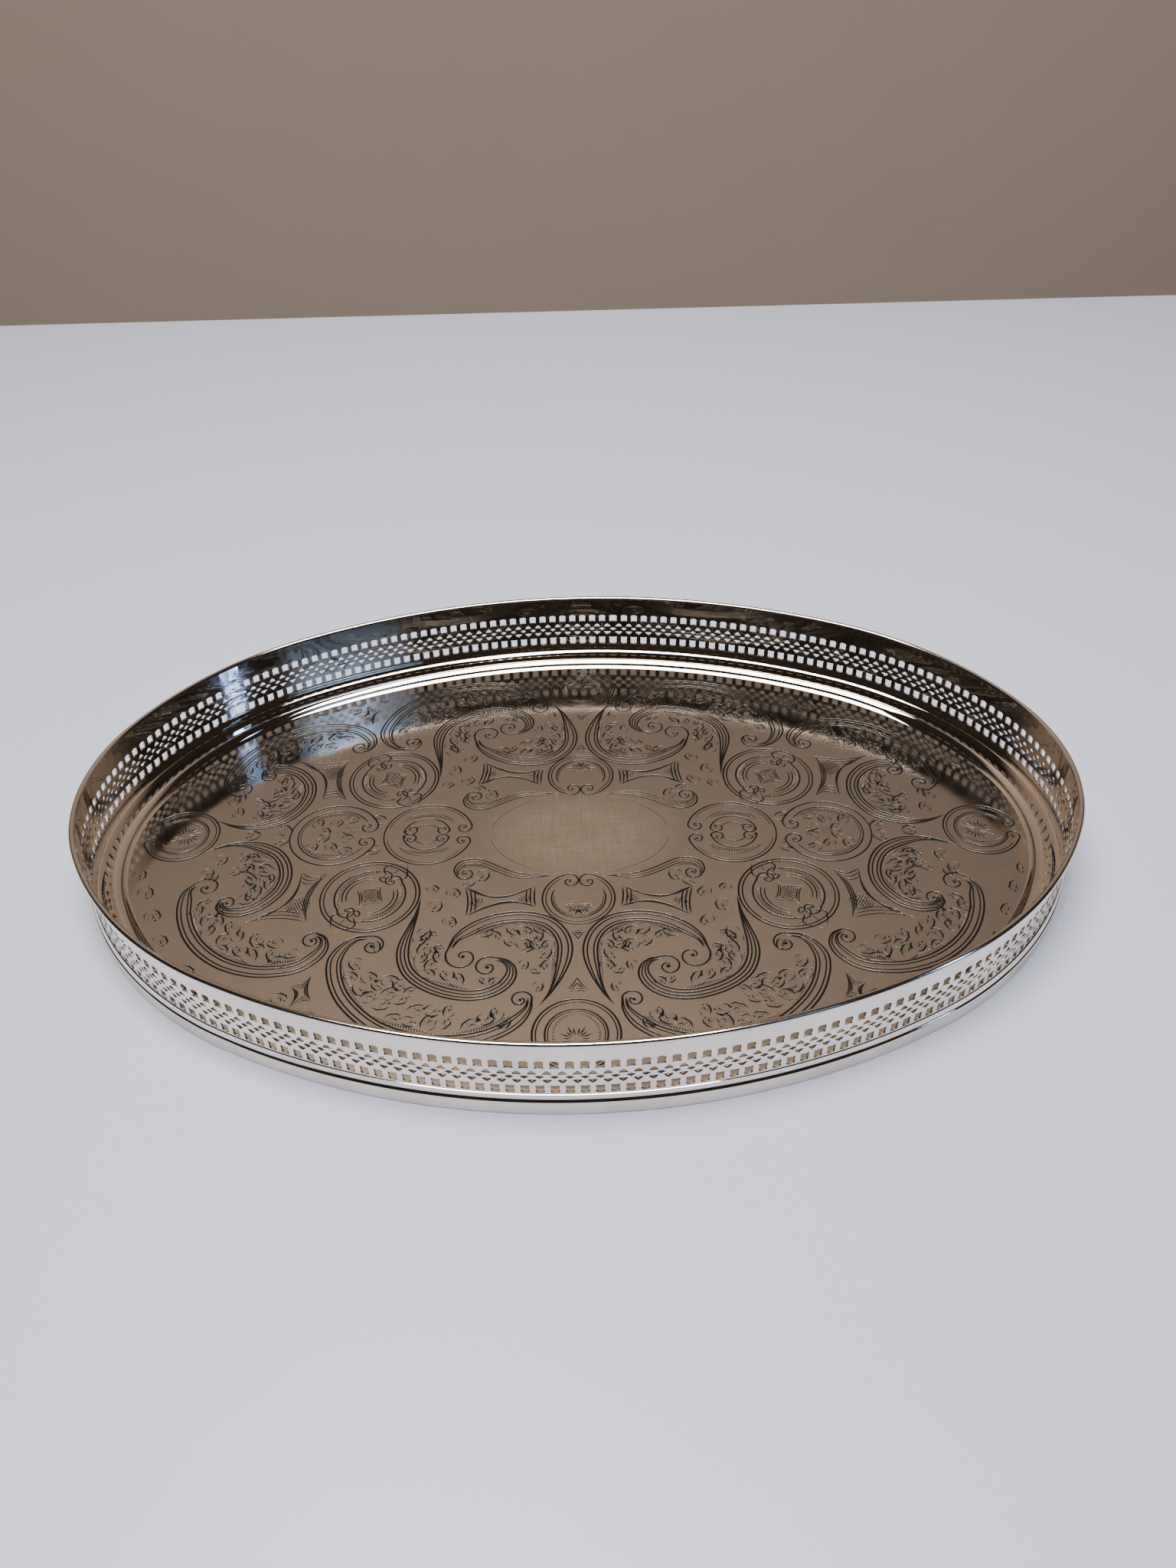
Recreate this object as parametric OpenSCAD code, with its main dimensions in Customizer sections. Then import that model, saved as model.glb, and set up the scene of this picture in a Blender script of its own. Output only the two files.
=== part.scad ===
// Oval gallery tray: a flat field with a raised border, a pierced gallery
// soldered on it, a wire round the top and a collet foot underneath.

/* [Tray] */
// Length over the rim wire
tray_length = 406; // [360:2:440]
// Width over the rim wire
tray_width = 280; // [250:2:300]
// Height from the table to the top of the rim wire
tray_height = 36.5; // [34:0.5:44]

/* [Oval outline] */
// Half the angle that each small end arc turns through
end_arc = 26; // [22:1:30]
// Angle from the long axis at which the long side arc starts
side_arc = 62; // [58:1:66]
// Radius of the shoulder arcs between the ends and the sides
shoulder_r = 147; // [140:1:154]

/* [Rim wire] */
// Diameter of the wire along the top edge
wire_d = 2.4; // [2:0.1:3]

/* [Gallery] */
// Thickness of the pierced strip
strip_t = 0.8; // [0.6:0.1:1]
// Distance from the middle of the rim wire in to the strip's outer face
strip_inset = 0.4; // [0:0.1:0.4]
// Height above the table at which the strip stands on the base
strip_foot = 6.5; // [6:0.1:7]
// Number of pierced repeats round the tray
repeats = 214; // [180:2:220]

/* [Piercing] */
// Distance from the middle of the rim wire down to the top row of holes
plain_band = 8.7; // [8:0.1:10]
// Width of the holes in the top and bottom rows
block_w = 3.1; // [2:0.1:3.2]
// Height of the holes in the top row
top_block_h = 3.9; // [3:0.1:4]
// Height of the holes in the bottom row
low_block_h = 4.2; // [3:0.1:4.4]
// Height of each of the three small rows between them
small_h = 2; // [1.6:0.1:2.1]
// Width of the holes in the small rows
small_w = 3.2; // [2:0.1:3.3]
// Metal left between the small rows
bar = 0.3; // [0.25:0.05:0.4]
// Metal left between the small rows and the rows above and below
wide_bar = 1.1; // [0.8:0.1:1.2]

/* [Base] */
// Height of the field above the table
field_z = 2.2; // [1.8:0.1:2.6]
// Thickness of the base sheet
sheet_t = 0.9; // [0.7:0.1:1.2]
// Width of the raised border, from the middle of the rim wire to the field
border_w = 12.8; // [11:0.1:15]
// Height of the border's bead above the field
bead_h = 1.7; // [1:0.1:2]

/* [Foot] */
// Thickness of the foot strip
foot_t = 0.9; // [0.7:0.1:1.2]
// Height of the foot strip below the outer moulding
foot_h = 5.1; // [4.6:0.1:5.2]
// Height of the outer moulding's top edge above the table
moulding_top = 9; // [8.6:0.1:9]
// Radius of the bead on the outer moulding
moulding_bead_r = 0.9; // [0.7:0.1:1]

/* [Hidden] */
$fn = 180;

// Places outward (+) or inward (-) of the middle of the rim wire
wire_r = wire_d / 2;
strip_out = -strip_inset;
strip_mid = strip_out - strip_t / 2;
strip_in = strip_out - strip_t;
wire_z = tray_height - wire_r;
strip_h = wire_z - strip_foot;

// Heights of the five rows of holes, counted down the strip
row1_z = wire_z - plain_band - top_block_h / 2;
row2_z = row1_z - top_block_h / 2 - wide_bar - small_h / 2;
row3_z = row2_z - small_h - bar;
row4_z = row3_z - small_h - bar;
row5_z = row4_z - small_h / 2 - wide_bar - low_block_h / 2;

// Half axes of the oval that the middle of the rim wire follows
half_l = tray_length / 2 - wire_r;
half_w = tray_width / 2 - wire_r;

// End and side radii that join the shoulder arcs smoothly (two linear equations)
xx = cos(end_arc) - 1;
xy = -cos(side_arc);
yx = sin(end_arc);
yy = 1 - sin(side_arc);
px = shoulder_r * (cos(end_arc) - cos(side_arc)) - half_l;
py = shoulder_r * (sin(end_arc) - sin(side_arc)) + half_w;
det = xx * yy - xy * yx;
end_r = (px * yy - xy * py) / det;
side_r = (xx * py - yx * px) / det;

// Centres of the end, shoulder and side arcs in the first quarter
end_c = [half_l - end_r, 0];
shoulder_c = end_c + (end_r - shoulder_r) * [cos(end_arc), sin(end_arc)];
side_c = [0, half_w - side_r];

// The eight arcs in turn: centre, radius, first angle, angle turned
arcs = [
    for (turn = [0, 180])
        let (way = turn == 0 ? 1 : -1)
            each [
                [way * end_c, end_r, turn - end_arc, 2 * end_arc],
                [way * shoulder_c, shoulder_r, turn + end_arc, side_arc - end_arc],
                [way * side_c, side_r, turn + side_arc, 180 - 2 * side_arc],
                [way * [-shoulder_c.x, shoulder_c.y], shoulder_r,
                    turn + 180 - side_arc, side_arc - end_arc],
            ]
];

// Length of one arc at the middle of the strip, and of the whole strip
function strip_arc(i) = (arcs[i][1] + strip_mid) * arcs[i][3] * PI / 180;
function strip_length(i = 0) = i == len(arcs) ? 0 : strip_arc(i) + strip_length(i + 1);
pitch = strip_length() / repeats;

// Which arc a length along the strip falls on, and how far along that arc
function on_arc(s, i = 0) =
    s < strip_arc(i) || i == len(arcs) - 1 ? [i, s] : on_arc(s - strip_arc(i), i + 1);

// Points of a curve from a to b that bulges up (+) or sags (-) by rise
curve_steps = 6;
function bulge(a, b, rise) = [
    for (i = [0 : curve_steps])
        let (t = i / curve_steps)
            a + (b - a) * t + [0, rise * 4 * t * (1 - t)]
];

// A flat profile carried round the oval: x is outward, y is up.
// A short tongue inside the profile ties each arc to the next one.
tongue_l = 2;
module round_oval(tongue, tongue_at) {
    for (arc = arcs)
        translate(arc[0])
            rotate(arc[2]) {
                rotate_extrude(angle = arc[3])
                    translate([arc[1], 0])
                        children();
                translate([arc[1] + tongue_at.x, 0, tongue_at.y])
                    cube([tongue.x, tongue_l, tongue.y], center = true);
            }
}

// A shape set on the middle of the strip at length s, its own +Z pointing out
module on_strip(s, z) {
    place = on_arc(s);
    arc = arcs[place[0]];
    angle = arc[2] + place[1] / (arc[1] + strip_mid) * 180 / PI;
    translate(arc[0])
        rotate(angle)
            translate([arc[1] + strip_mid, 0, z])
                rotate([90, 0, 90])
                    children();
}

// A block with one arched end, flip = 1 for the arch at the top
module block_hole(w, h, flip) {
    polygon([
        [-w / 2, -flip * h / 2],
        [w / 2, -flip * h / 2],
        [w / 2, flip * h * 0.32],
        [0, flip * h / 2],
        [-w / 2, flip * h * 0.32],
    ]);
}

// A dome on a flat side, flip = 1 for the dome at the top
module dome_hole(w, h, flip) {
    polygon([
        [-w / 2, -flip * h / 2],
        [w / 2, -flip * h / 2],
        [0, flip * h / 2],
    ]);
}

module lozenge_hole(w, h) {
    polygon([[-w / 2, 0], [0, -h / 2], [w / 2, 0], [0, h / 2]]);
}

module pierce() {
    linear_extrude(strip_t * 4, center = true) children();
}

module piercing() {
    for (k = [0 : repeats - 1]) {
        on_strip((k + 0.25) * pitch, row1_z) pierce() block_hole(block_w, top_block_h, 1);
        on_strip((k + 0.75) * pitch, row2_z) pierce() dome_hole(small_w, small_h, 1);
        on_strip((k + 0.25) * pitch, row3_z) pierce() lozenge_hole(small_w, small_h);
        on_strip((k + 0.75) * pitch, row4_z) pierce() dome_hole(small_w, small_h, -1);
        on_strip((k + 0.25) * pitch, row5_z) pierce() block_hole(block_w, low_block_h, -1);
    }
}

module gallery_band() {
    color("silver")
        difference() {
            round_oval([strip_t / 2, strip_h - 1], [strip_mid, strip_foot + strip_h / 2])
                translate([strip_in, strip_foot])
                    square([strip_t, strip_h]);
            piercing();
        }
}

// The wire is slotted underneath for the strip's top edge
module rim_wire() {
    color("gainsboro")
        round_oval([wire_r, wire_r / 2], [0, wire_z + wire_r / 2])
            difference() {
                translate([0, wire_z]) circle(wire_r, $fn = 48);
                translate([strip_in, wire_z - wire_d]) square([strip_t, wire_d]);
            }
}

// Border from the field outward: groove, bead, cove, then the lip under the strip
lip_w = 0.6;
bead_w = 5.2;
bead_edge = [-border_w + bead_w, field_z + bead_h * 0.7];
cove = bulge(bead_edge, [strip_in - lip_w, strip_foot], -0.9);
border_top = concat(
    bulge([-border_w, field_z], bead_edge, bead_h * 0.65),
    [for (i = [1 : curve_steps]) cove[i]],
    [[strip_out, strip_foot]]
);
border_under = [for (i = [len(border_top) - 1 : -1 : 0]) border_top[i] - [0, sheet_t]];

// Stations round the oval: a place on the middle of the rim wire, and the way out
station_step = 3.5;
stations = [
    for (arc = arcs)
        let (count = ceil(arc[3] / station_step))
            for (i = [0 : count - 1])
                let (angle = arc[2] + arc[3] * i / count, way = [cos(angle), sin(angle)])
                    [arc[0] + arc[1] * way, way]
];

// The sheet: its border section at every station, closed by the field above and below
module base_plate() {
    section = concat(border_top, border_under);
    size = len(section);
    last = len(stations) - 1;
    color("rosybrown")
        polyhedron(
            points = [
                for (station = stations, point = section)
                    let (place = station[0] + point.x * station[1])
                        [place.x, place.y, point.y]
            ],
            faces = concat(
                [
                    for (i = [0 : last], j = [0 : size - 2])
                        let (here = i * size + j, next = (i + 1) % (last + 1) * size + j)
                            [here, next, next + 1, here + 1]
                ],
                [[for (i = [last : -1 : 0]) i * size]],
                [[for (i = [0 : last]) i * size + size - 1]]
            )
        );
}

// Drawn wire outside the strip's foot: a cove above a half-round bead
bead_mid = [wire_r - moulding_bead_r, foot_h + moulding_bead_r];
module outer_moulding() {
    color("gainsboro")
        round_oval([moulding_bead_r, moulding_bead_r], bead_mid)
            union() {
                translate(bead_mid) circle(moulding_bead_r, $fn = 32);
                polygon(concat(
                    [[strip_out, foot_h], [bead_mid.x, foot_h]],
                    [[bead_mid.x, foot_h + 2 * moulding_bead_r]],
                    bulge([bead_mid.x, foot_h + 2 * moulding_bead_r],
                        [strip_out + 0.1, moulding_top], -0.3),
                    [[strip_out, moulding_top]]
                ));
            }
}

// A splayed strip under the border and the moulding, standing on the table
foot_out = wire_r - 0.1;
module foot_rim() {
    color("silver")
        round_oval([foot_t / 2, foot_t / 2], [strip_out - foot_t / 4, foot_h - foot_t / 4])
            polygon([
                [foot_out, 0],
                [strip_out + foot_t / 2, foot_h],
                [strip_out, foot_h],
                [strip_out, strip_foot - sheet_t],
                [strip_out - foot_t, strip_foot - sheet_t],
                [strip_out - foot_t, foot_h],
                [foot_out - foot_t, 0],
            ]);
}

base_plate();
gallery_band();
rim_wire();
outer_moulding();
foot_rim();
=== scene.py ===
import math

import bmesh
import bpy
from mathutils import Matrix, Vector
from mathutils.geometry import delaunay_2d_cdt


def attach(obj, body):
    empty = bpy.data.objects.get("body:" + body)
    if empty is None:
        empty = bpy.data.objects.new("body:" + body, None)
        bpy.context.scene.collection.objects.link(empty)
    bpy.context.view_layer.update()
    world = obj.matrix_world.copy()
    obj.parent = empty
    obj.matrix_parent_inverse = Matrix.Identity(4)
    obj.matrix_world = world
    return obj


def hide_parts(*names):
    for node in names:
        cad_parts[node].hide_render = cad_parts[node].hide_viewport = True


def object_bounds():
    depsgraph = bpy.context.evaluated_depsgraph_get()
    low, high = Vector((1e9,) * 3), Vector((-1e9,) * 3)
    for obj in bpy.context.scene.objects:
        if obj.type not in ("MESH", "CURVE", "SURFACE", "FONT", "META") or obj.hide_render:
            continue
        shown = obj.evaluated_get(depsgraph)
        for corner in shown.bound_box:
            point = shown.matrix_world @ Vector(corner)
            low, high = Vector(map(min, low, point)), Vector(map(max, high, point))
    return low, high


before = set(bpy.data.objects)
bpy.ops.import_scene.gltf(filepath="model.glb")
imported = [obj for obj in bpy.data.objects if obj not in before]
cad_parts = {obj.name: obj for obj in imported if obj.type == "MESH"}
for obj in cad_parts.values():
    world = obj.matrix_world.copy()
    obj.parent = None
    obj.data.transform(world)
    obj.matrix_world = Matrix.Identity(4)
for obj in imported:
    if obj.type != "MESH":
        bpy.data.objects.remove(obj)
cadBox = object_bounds()
mm = 0.001
weldWithin = 0.002           # mm, places closer than this become one

# Oval gallery tray: engraved field, pierced gallery, wire rim, drawn moulding and a collet foot.
# Sections are given as (out, up) in mm: out is measured from the middle of the rim wire.

tray = {
    "wireRadius": 1.2,
    "endAngle": 26,          # half the turn of each end arc, degrees
    "sideAngle": 62,         # where the long side arcs start, degrees from the long axis
    "shoulderRadius": 147,   # arcs between the ends and the sides
    "stationStep": 2.5,      # mm between the sections of a sweep
}

boxSize = (cadBox[1] - cadBox[0]) / mm
halfLength = boxSize.x / 2 - tray["wireRadius"]
halfWidth = boxSize.y / 2 - tray["wireRadius"]
trayHeight = boxSize.z


def ovalArcs():
    # eight arcs that share their tangents: centre, radius, first angle, angle turned
    end, side = math.radians(tray["endAngle"]), math.radians(tray["sideAngle"])
    shoulder = tray["shoulderRadius"]
    xx, xy = math.cos(end) - 1, -math.cos(side)
    yx, yy = math.sin(end), 1 - math.sin(side)
    px = shoulder * (math.cos(end) - math.cos(side)) - halfLength
    py = shoulder * (math.sin(end) - math.sin(side)) + halfWidth
    det = xx * yy - xy * yx
    endRadius = (px * yy - xy * py) / det
    sideRadius = (xx * py - yx * px) / det
    endCentre = Vector((halfLength - endRadius, 0, 0))
    shoulderCentre = endCentre + (endRadius - shoulder) * Vector((math.cos(end), math.sin(end), 0))
    sideCentre = Vector((0, halfWidth - sideRadius, 0))
    made = []
    for half in (0, 1):
        way, turned = 1 - 2 * half, math.pi * half
        mirrored = Vector((-shoulderCentre.x, shoulderCentre.y, 0))
        made += [
            (way * endCentre, endRadius, turned - end, 2 * end),
            (way * shoulderCentre, shoulder, turned + end, side - end),
            (way * sideCentre, sideRadius, turned + side, math.pi - 2 * side),
            (way * mirrored, shoulder, turned + math.pi - side, side - end),
        ]
    return made


arcs = ovalArcs()


def stepsOn(arc):
    return max(2, round(arc[1] * arc[3] / tray["stationStep"]))


def roundPlace(arc, angle, out, up):
    way = Vector((math.cos(angle), math.sin(angle), 0))
    return arc[0] + (arc[1] + out) * way + Vector((0, 0, up))


def outFromRim(x, y):
    # how far a place lies outside (+) or inside (-) the middle of the rim wire
    x, y = abs(x), abs(y)
    for centre, radius, start, turn in arcs[:3]:
        angle = math.atan2(y - centre.y, x - centre.x)
        if angle <= start + turn:
            return math.hypot(x - centre.x, y - centre.y) - radius
    return math.hypot(x - centre.x, y - centre.y) - radius


def sweepRound(bm, section, closed=True):
    # spins a section round the eight arcs, one after the other
    first = arcs[0]
    ring = [bm.verts.new(roundPlace(first, first[2], out, up) * mm) for out, up in section]
    pairs = list(zip(ring, ring[1:]))
    if closed:
        pairs.append((ring[-1], ring[0]))
    loop = ring + [bm.edges.new(pair) for pair in pairs]
    for arc in arcs:
        spun = bmesh.ops.spin(bm, geom=loop, cent=arc[0] * mm, axis=(0, 0, 1), angle=arc[3],
                              steps=stepsOn(arc))
        loop = spun["geom_last"]


def bulge(start, end, rise, steps):
    # a curve from start to end that rises (+) or sags (-) in its middle
    made = []
    for i in range(steps + 1):
        t = i / steps
        made.append((start[0] + (end[0] - start[0]) * t,
                     start[1] + (end[1] - start[1]) * t + rise * 4 * t * (1 - t)))
    return made


def roundSection(middle, radius, first, last, steps):
    made = []
    for i in range(steps + 1):
        angle = math.radians(first + (last - first) * i / steps)
        made.append((middle[0] + radius * math.cos(angle), middle[1] + radius * math.sin(angle)))
    return made


def finishPiece(name, bm, node, finish, sharpAngle, second=None):
    # welds a piece, turns its faces outwards, hangs it under the root body and hides the node that it
    # replaces
    bmesh.ops.remove_doubles(bm, verts=bm.verts, dist=weldWithin * mm)
    bmesh.ops.recalc_face_normals(bm, faces=bm.faces)
    for edge in bm.edges:
        if len(edge.link_faces) == 2:
            edge.smooth = edge.calc_face_angle(0) < math.radians(sharpAngle)
    mesh = bpy.data.meshes.new(name)
    bm.to_mesh(mesh)
    bm.free()
    piece = bpy.data.objects.new(name, mesh)
    bpy.context.scene.collection.objects.link(piece)
    for material in filter(None, (finish, second)):
        piece.data.materials.append(material)
    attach(piece, "root")
    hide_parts(node)
    print("made", name, len(mesh.polygons), "faces")
    return piece


# Materials

def linear(hexColour):
    # sRGB hex to the linear values that Blender's sockets take
    parts = [int(hexColour[i:i + 2], 16) / 255 for i in (1, 3, 5)]
    return tuple(c / 12.92 if c <= 0.04045 else ((c + 0.055) / 1.055) ** 2.4 for c in parts) + (1,)


def addNode(tree, kind, settings=None, links=None, out=0):
    # settings go to the node's own properties or to its sockets, links name sockets to join;
    # what comes back is one output of the node
    node = tree.nodes.new(kind)
    for key, value in (settings or {}).items():
        if isinstance(key, str) and hasattr(node, key):
            setattr(node, key, value)
        else:
            node.inputs[key].default_value = value
    for key, source in (links or {}).items():
        tree.links.new(source, node.inputs[key])
    return node.outputs[out]


def newFinish(name):
    finish = bpy.data.materials.new(name)
    finish.use_nodes = True
    tree = finish.node_tree
    shader = tree.nodes["Principled BSDF"]
    place = addNode(tree, "ShaderNodeTexCoord", out="Object")
    return finish, tree, shader, place


silver = {
    "bright": "#e8dfd4",     # clean plate
    "dull": "#cfc4b4",       # plate with a thin film of tarnish
    "matted": "#c3bbb0",     # the punched ground of the engraving
    "pit": "#5f5851",        # its punch marks
    "tarnishAndShade": "#140f0c",    # sulphide left in the cuts; on the walls of the gallery's holes this colour is painted shade
    "filmPatch": 34,         # mm, patches of film on the buffed pieces, and of painted shade on the hole walls
    "groundPatch": 14,       # mm, patches of tarnish on the engraved field
    "scratchWidth": 0.35,    # mm, wiping scratches, drawn wide enough to show
    "waveLength": 26,        # mm, between the low waves of hand-worked sheet
    "fieldWave": 40,         # mm, between those of the engraved field
    "stipple": 0.5,          # mm, between the punch marks of the matted ground
    "brushWidth": 0.5,       # mm, between the brush strokes of the plain oval
    "plainOval": (38, 27),   # mm, the half axes of that oval
}


def perMm(size):
    # a texture scale, in Object coordinates, for a pattern that repeats every size mm
    return 1 / (size * mm)


def polishedPlate(name, wave, roughness, filmAndShade, tones=("bright", "dull")):
    # silver plate on copper, buffed: a mirror with soft waves and fine wiping scratches. Patches of the
    # second tone are a film of tarnish, and painted shade on the hole walls
    finish, tree, shader, place = newFinish(name)
    patches = addNode(tree, "ShaderNodeTexNoise",
                      {"Scale": perMm(silver["filmPatch"]), "Detail": 5.0, "Roughness": 0.6},
                      {"Vector": place})
    amount = addNode(tree, "ShaderNodeMapRange",
                     {"From Min": 0.42, "From Max": 0.72, "To Min": 0.0, "To Max": filmAndShade},
                     {"Value": patches})
    colour = addNode(tree, "ShaderNodeMix",
                     {"data_type": "RGBA", 6: linear(silver[tones[0]]), 7: linear(silver[tones[1]])},
                     {0: amount}, 2)
    tree.links.new(colour, shader.inputs["Base Color"])
    squeezed = addNode(tree, "ShaderNodeMapping", {"Scale": (1, 1, 0.04)}, {"Vector": place})
    scratches = addNode(tree, "ShaderNodeTexNoise",
                        {"Scale": perMm(silver["scratchWidth"]), "Detail": 2.0}, {"Vector": squeezed})
    gloss = addNode(tree, "ShaderNodeMapRange",
                    {"From Min": 0.3, "From Max": 0.8,
                     "To Min": roughness * 0.7, "To Max": roughness * 1.5},
                    {"Value": patches})
    tree.links.new(gloss, shader.inputs["Roughness"])
    waves = addNode(tree, "ShaderNodeTexNoise",
                    {"Scale": perMm(silver["waveLength"]), "Detail": 1.0}, {"Vector": place})
    low = addNode(tree, "ShaderNodeBump", {"Strength": 1.0, "Distance": wave * mm},
                  {"Height": waves})
    fine = addNode(tree, "ShaderNodeBump", {"Strength": 0.25, "Distance": 0.004 * mm},
                   {"Height": scratches, "Normal": low})
    tree.links.new(fine, shader.inputs["Normal"])
    shader.inputs["Metallic"].default_value = 1.0
    return finish


def engravedPlate(name):
    # engraved silver plate: a soft mirror over a matted ground, with dark tarnish in the cuts
    finish, tree, shader, place = newFinish(name)
    depth = addNode(tree, "ShaderNodeAttribute", {"attribute_name": "cutDepth"}, out="Fac")
    patches = addNode(tree, "ShaderNodeTexNoise",
                      {"Scale": perMm(silver["groundPatch"]), "Detail": 5.0, "Roughness": 0.66},
                      {"Vector": place})
    amount = addNode(tree, "ShaderNodeMapRange",
                     {"From Min": 0.42, "From Max": 0.62, "To Min": 0.1, "To Max": 1.0},
                     {"Value": patches})
    # the plain oval in the middle is brushed both ways and not matted
    long, wide = silver["plainOval"]
    ovalPlace = addNode(tree, "ShaderNodeMapping", {"Scale": (perMm(long), perMm(wide), 0)},
                        {"Vector": place})
    away = addNode(tree, "ShaderNodeVectorMath", {"operation": "LENGTH"}, {0: ovalPlace}, "Value")
    matted = addNode(tree, "ShaderNodeMapRange", {"From Min": 0.55, "From Max": 1.2}, {"Value": away})
    punched = addNode(tree, "ShaderNodeTexVoronoi",
                      {"Scale": perMm(silver["stipple"]), "Randomness": 0.8}, {"Vector": place})
    strokes = []
    for squeeze in ((0.05, 1, 1), (1, 0.05, 1)):  # along the tray, then across it
        way = addNode(tree, "ShaderNodeMapping", {"Scale": squeeze}, {"Vector": place})
        stroke = addNode(tree, "ShaderNodeTexNoise",
                         {"Scale": perMm(silver["brushWidth"]), "Detail": 2.0}, {"Vector": way})
        strokes.append(stroke)
    brushed = addNode(tree, "ShaderNodeMath", {"operation": "ADD"}, dict(enumerate(strokes)))
    ground = addNode(tree, "ShaderNodeMath", {"operation": "MULTIPLY"}, {0: punched, 1: matted})
    # each punch mark holds a little tarnish, more in some patches than in others
    pit = addNode(tree, "ShaderNodeMapRange",
                  {"From Min": 0.1, "From Max": 0.42, "To Min": 0.75, "To Max": 0.0},
                  {"Value": punched})
    pitted = addNode(tree, "ShaderNodeMath", {"operation": "MULTIPLY"}, {0: pit, 1: amount})
    groundTone = addNode(tree, "ShaderNodeMix",
                         {"data_type": "RGBA", 6: linear(silver["matted"]), 7: linear(silver["pit"])},
                         {0: pitted}, 2)
    streaks = addNode(tree, "ShaderNodeMapRange",
                      {"From Min": 0.8, "From Max": 1.25, "To Min": 0.0, "To Max": 1.0},
                      {"Value": brushed})
    ovalTone = addNode(tree, "ShaderNodeMix",
                       {"data_type": "RGBA", 6: linear(silver["dull"]), 7: linear(silver["bright"])},
                       {0: streaks}, 2)
    worked = addNode(tree, "ShaderNodeMix", {"data_type": "RGBA"},
                     {0: matted, 6: ovalTone, 7: groundTone}, 2)
    dark = addNode(tree, "ShaderNodeMapRange",
                   {"From Min": 0.0, "From Max": 0.09, "To Min": 0.0, "To Max": 0.96}, {"Value": depth})
    colour = addNode(tree, "ShaderNodeMix", {"data_type": "RGBA", 7: linear(silver["tarnishAndShade"])},
                     {0: dark, 6: worked}, 2)
    tree.links.new(colour, shader.inputs["Base Color"])
    brushBump = addNode(tree, "ShaderNodeBump", {"Strength": 0.35, "Distance": 0.01 * mm},
                        {"Height": brushed})
    groundBump = addNode(tree, "ShaderNodeBump", {"Strength": 0.15, "Distance": 0.012 * mm},
                         {"Height": ground, "Normal": brushBump})
    waves = addNode(tree, "ShaderNodeTexNoise",
                    {"Scale": perMm(silver["fieldWave"]), "Detail": 1.0}, {"Vector": place})
    low = addNode(tree, "ShaderNodeBump", {"Strength": 1.0, "Distance": 0.10 * mm},
                  {"Height": waves, "Normal": groundBump})
    tree.links.new(low, shader.inputs["Normal"])
    gloss = addNode(tree, "ShaderNodeMapRange",
                    {"From Min": 0.3, "From Max": 0.75, "To Min": 0.07, "To Max": 0.14},
                    {"Value": patches})
    punchedGloss = addNode(tree, "ShaderNodeMath", {"operation": "MULTIPLY_ADD", 1: 0.35},
                           {0: pitted, 2: gloss})
    rough = addNode(tree, "ShaderNodeMath", {"operation": "MULTIPLY_ADD", 1: 0.6},
                    {0: dark, 2: punchedGloss})
    tree.links.new(rough, shader.inputs["Roughness"])
    shader.inputs["Metallic"].default_value = 1.0
    return finish


# Rim wire: a round wire that hides the strip's top edge

def makeRimWire():
    bm = bmesh.new()
    radius = tray["wireRadius"]
    sweepRound(bm, roundSection((0, trayHeight - radius), radius, 0, 360, 24)[:-1])
    return finishPiece("rimWire", bm, "rim_wire",
                       polishedPlate("buffed silver-plated wire", 0.05, 0.10, 0.5), 60)


# Gallery: a thin pierced strip, one repeat cut out flat, repeated and bent round the oval

gallery = {
    "outer": -0.4,           # the strip's outer face
    "thick": 0.8,
    "foot": 6.5,             # where it stands on the lip of the plate
    "repeats": 214,
    "seamStretch": 1.22,     # the repeat at the joint of the strip's ends is cut wider
    "seamRepeats": 4.1,      # repeats from the middle of the back to that joint
    "topRow": (26.6, 22.7),  # each row of holes: its upper and lower edge
    "domeRow": (21.6, 19.6),
    "lozengeRow": (19.3, 17.3),
    "cupRow": (17.0, 15.0),
    "lowRow": (13.9, 9.7),
    "blockWidth": 3.2,
    "smallWidth": 3.3,
}


def curveThrough(points, steps=4):
    # joins (place, rise) corners: rise bows the side that follows, to its left
    made = []
    for i, (start, rise) in enumerate(points):
        end = points[(i + 1) % len(points)][0]
        dx, dy = end[0] - start[0], end[1] - start[1]
        long = math.hypot(dx, dy)
        count = steps if rise else 1
        for j in range(count):
            t = j / count
            bow = rise * 4 * t * (1 - t)
            made.append((start[0] + dx * t - dy / long * bow, start[1] + dy * t + dx / long * bow))
    return made


def cellLoops(pitch):
    half, top = pitch / 2, trayHeight - tray["wireRadius"]
    w, s = gallery["blockWidth"] / 2, gallery["smallWidth"] / 2
    up, down = gallery["topRow"]
    topBlock = curveThrough([((-w, down), 0.22), ((w, down), 0.15), ((w, up - 0.75), 0),
                             ((w - 0.45, up - 0.2), -0.2), ((-w + 0.45, up - 0.2), 0),
                             ((-w, up - 0.75), 0.15)])
    up, down = gallery["lowRow"]
    lowBlock = curveThrough([((-w + 0.5, down + 0.15), -0.15), ((w - 0.5, down + 0.15), 0),
                             ((w, down + 0.8), 0.15), ((w, up), 0.18), ((-w, up), 0.15),
                             ((-w, down + 0.8), 0)])
    up, down = gallery["lozengeRow"]
    middle = (up + down) / 2
    lozenge = curveThrough([((-s, middle), 0.12), ((0, down), 0.12), ((s, middle), -0.1),
                            ((0, up), -0.1)], 3)
    # half of a dome and half of a cup lie at each side of the repeat
    up, down = gallery["domeRow"]
    dome = [(0, down), (s, down), (s * 0.72, down + 0.95), (s * 0.4, up - 0.45), (0, up)]
    up, down = gallery["cupRow"]
    cup = [(0, down), (s * 0.4, down + 0.5), (s * 0.75, up - 0.95), (s, up), (0, up)]
    left = [(-half + x, y) for x, y in cup + dome]
    right = [(half - x, y) for x, y in reversed(cup + dome)]
    outline = [(-half, gallery["foot"])] + left + [(-half, top), (half, top)] + right
    outline.append((half, gallery["foot"]))
    return [outline, topBlock, lowBlock, lozenge]


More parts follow.
